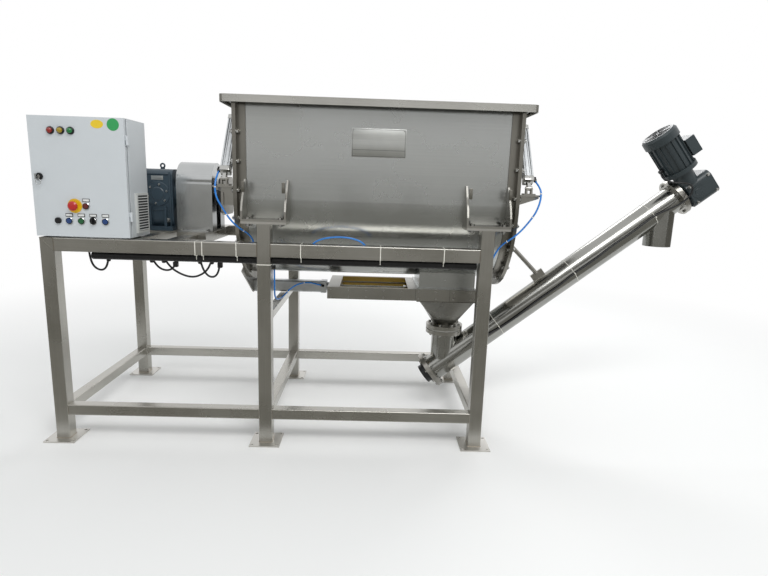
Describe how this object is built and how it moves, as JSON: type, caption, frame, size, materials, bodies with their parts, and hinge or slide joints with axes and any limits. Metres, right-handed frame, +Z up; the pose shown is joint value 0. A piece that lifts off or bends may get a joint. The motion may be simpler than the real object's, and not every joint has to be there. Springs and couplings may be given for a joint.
{
  "type": "ribbon blender",
  "caption": "Horizontal ribbon blender on a tube frame with split lid, air cylinders, slide gate, inclined screw discharge and control cabinet.",
  "frame": {"origin": "on the floor below the middle of the machine, in the trough's centre plane", "axes": "+X from the drive end to the discharge spout, +Y away from the operator, +Z up"},
  "size_m": [3.2195, 1.023, 1.576],
  "materials": {
    "frame_steel": "satin stainless tube and plate",
    "polished_steel": "smooth stainless sheet",
    "bolt_steel": "bright stainless",
    "white_rubber": "food-grade seal",
    "black_iron": "black painted casting",
    "gear_paint": "dark blue-grey semi-gloss",
    "motor_paint": "dark grey-green semi-gloss",
    "amber_plastic": "cast polyurethane",
    "cylinder_aluminium": "anodised profile",
    "cabinet_paint": "light grey textured",
    "grey_plastic": "moulded louvre",
    "black_plastic": "moulded",
    "yellow_plastic": "moulded",
    "red_plastic": "moulded",
    "green_plastic": "moulded",
    "blue_plastic": "moulded",
    "lamp_plastic": "domed lens",
    "blue_hose": "polyurethane hose",
    "black_cable": "sheath"
  },
  "bodies": {
    "frame": {"air_hoses": "blue_hose", "bearings": "black_iron", "cabinet_body": "cabinet_paint", "cables": "black_cable", "coupling_guard": "polished_steel", "cover_hinge_leaves": "bolt_steel", "cradle_bolts": "bolt_steel", "cradles": "frame_steel", "drive_base": "frame_steel", "drive_motor": "gear_paint", "end_plates": "polished_steel", "end_rings": "polished_steel", "gaskets": "white_rubber", "gate_cylinder": "cylinder_aluminium", "gate_frame": "frame_steel", "gate_liners": "amber_plastic", "gear_unit": "gear_paint", "hopper": "polished_steel", "lanterns": "frame_steel", "leg_plates": "frame_steel", "legs": "frame_steel", "lift_shelves": "frame_steel", "lower_rails": "frame_steel", "outlet_chute": "polished_steel", "rear_cover": "polished_steel", "rim": "polished_steel", "saddle_plate": "frame_steel", "screw_flanges": "frame_steel", "screw_motor": "motor_paint", "screw_tube": "polished_steel", "strut": "frame_steel", "trough_shell": "polished_steel", "upper_rails": "frame_steel", "vent_cover": "grey_plastic", "worm_gearbox": "motor_paint"},
    "agitator": {"main_shaft": "polished_steel", "arms": "polished_steel", "outer_ribbons": "polished_steel", "inner_ribbons": "polished_steel", "coupling": "black_iron"},
    "lid": {"front_lid": "polished_steel", "lid_brackets": "bolt_steel"},
    "lift_rod_left": {"lift_rod_left": "bolt_steel"},
    "lift_barrel_left": {"lift_barrel_left": "cylinder_aluminium"},
    "lift_rod_right": {"lift_rod_right": "bolt_steel"},
    "lift_barrel_right": {"lift_barrel_right": "cylinder_aluminium"},
    "gate": {"gate_blade": "polished_steel"},
    "screw": {"screw": "polished_steel"},
    "door": {"cabinet_door": "cabinet_paint", "door_fittings": "black_plastic", "estop_plate": "yellow_plastic", "pilot_lights": "lamp_plastic"},
    "door_key": {"door_key": "bolt_steel"},
    "selector": {"selector": "black_plastic"},
    "estop_head": {"estop_head": "red_plastic"},
    "button_stop": {"button_stop": "red_plastic"},
    "button_green": {"button_green": "green_plastic"},
    "button_blue_left": {"button_blue_left": "blue_plastic"},
    "button_blue_right": {"button_blue_right": "blue_plastic"}
  },
  "joints": [
    {"name": "agitator_spin", "type": "hinge", "parent": "frame", "child": "agitator", "pos_m": [-0.114, 0, 1.128], "axis": [1, 0, 0], "continuous": true},
    {"name": "lid_hinge", "type": "hinge", "parent": "frame", "child": "lid", "pos_m": [-0.114, 0, 1.569], "axis": [-1, 0, 0], "range_deg": [0, 65]},
    {"name": "lift_rod_left_pivot", "type": "hinge", "parent": "lid", "child": "lift_rod_left", "pos_m": [-0.787, -0.1865, 1.518], "axis": [1, 0, 0], "range_deg": [0, 71.23]},
    {"name": "lift_left_stroke", "type": "slide", "parent": "lift_rod_left", "child": "lift_barrel_left", "axis": [0, -0.5658, -0.8245], "range_m": [0, 0.2018]},
    {"name": "lift_rod_right_pivot", "type": "hinge", "parent": "lid", "child": "lift_rod_right", "pos_m": [0.559, -0.1865, 1.518], "axis": [1, 0, 0], "range_deg": [0, 71.23]},
    {"name": "lift_right_stroke", "type": "slide", "parent": "lift_rod_right", "child": "lift_barrel_right", "axis": [0, -0.5658, -0.8245], "range_m": [0, 0.2018]},
    {"name": "gate_slide", "type": "slide", "parent": "frame", "child": "gate", "axis": [-1, 0, 0], "range_m": [0, 0.282]},
    {"name": "screw_spin", "type": "hinge", "parent": "frame", "child": "screw", "pos_m": [0.5227, 0, 0.46657], "axis": [0.7848, 0, 0.6198], "continuous": true},
    {"name": "door_hinge", "type": "hinge", "parent": "frame", "child": "door", "pos_m": [-1.172, -0.4615, 1.196], "axis": [0, 0, 1], "range_deg": [0, 110]},
    {"name": "key_turn", "type": "hinge", "parent": "door", "child": "door_key", "pos_m": [-1.543, -0.4815, 1.197], "axis": [0, -1, 0], "range_deg": [0, 90]},
    {"name": "selector_turn", "type": "hinge", "parent": "door", "child": "selector", "pos_m": [-1.33, -0.4795, 1.017], "axis": [0, -1, 0], "range_deg": [-45, 45]},
    {"name": "estop_press", "type": "slide", "parent": "door", "child": "estop_head", "axis": [0, 1, 0], "range_m": [0, 0.005], "stiffness_N_per_m": 600},
    {"name": "button_blue_left_press", "type": "slide", "parent": "door", "child": "button_blue_left", "axis": [0, 1, 0], "range_m": [0, 0.004], "stiffness_N_per_m": 300},
    {"name": "button_green_press", "type": "slide", "parent": "door", "child": "button_green", "axis": [0, 1, 0], "range_m": [0, 0.004], "stiffness_N_per_m": 300},
    {"name": "button_blue_right_press", "type": "slide", "parent": "door", "child": "button_blue_right", "axis": [0, 1, 0], "range_m": [0, 0.004], "stiffness_N_per_m": 300},
    {"name": "button_stop_press", "type": "slide", "parent": "door", "child": "button_stop", "axis": [0, 1, 0], "range_m": [0, 0.004], "stiffness_N_per_m": 300}
  ],
  "couplings": [
    {"joint": "lift_rod_left_pivot", "follows": "lid_hinge", "ratio": 1.095},
    {"joint": "lift_left_stroke", "follows": "lid_hinge", "m_per_rad": 0.17783},
    {"joint": "lift_rod_right_pivot", "follows": "lid_hinge", "ratio": 1.095},
    {"joint": "lift_right_stroke", "follows": "lid_hinge", "m_per_rad": 0.17783}
  ]
}
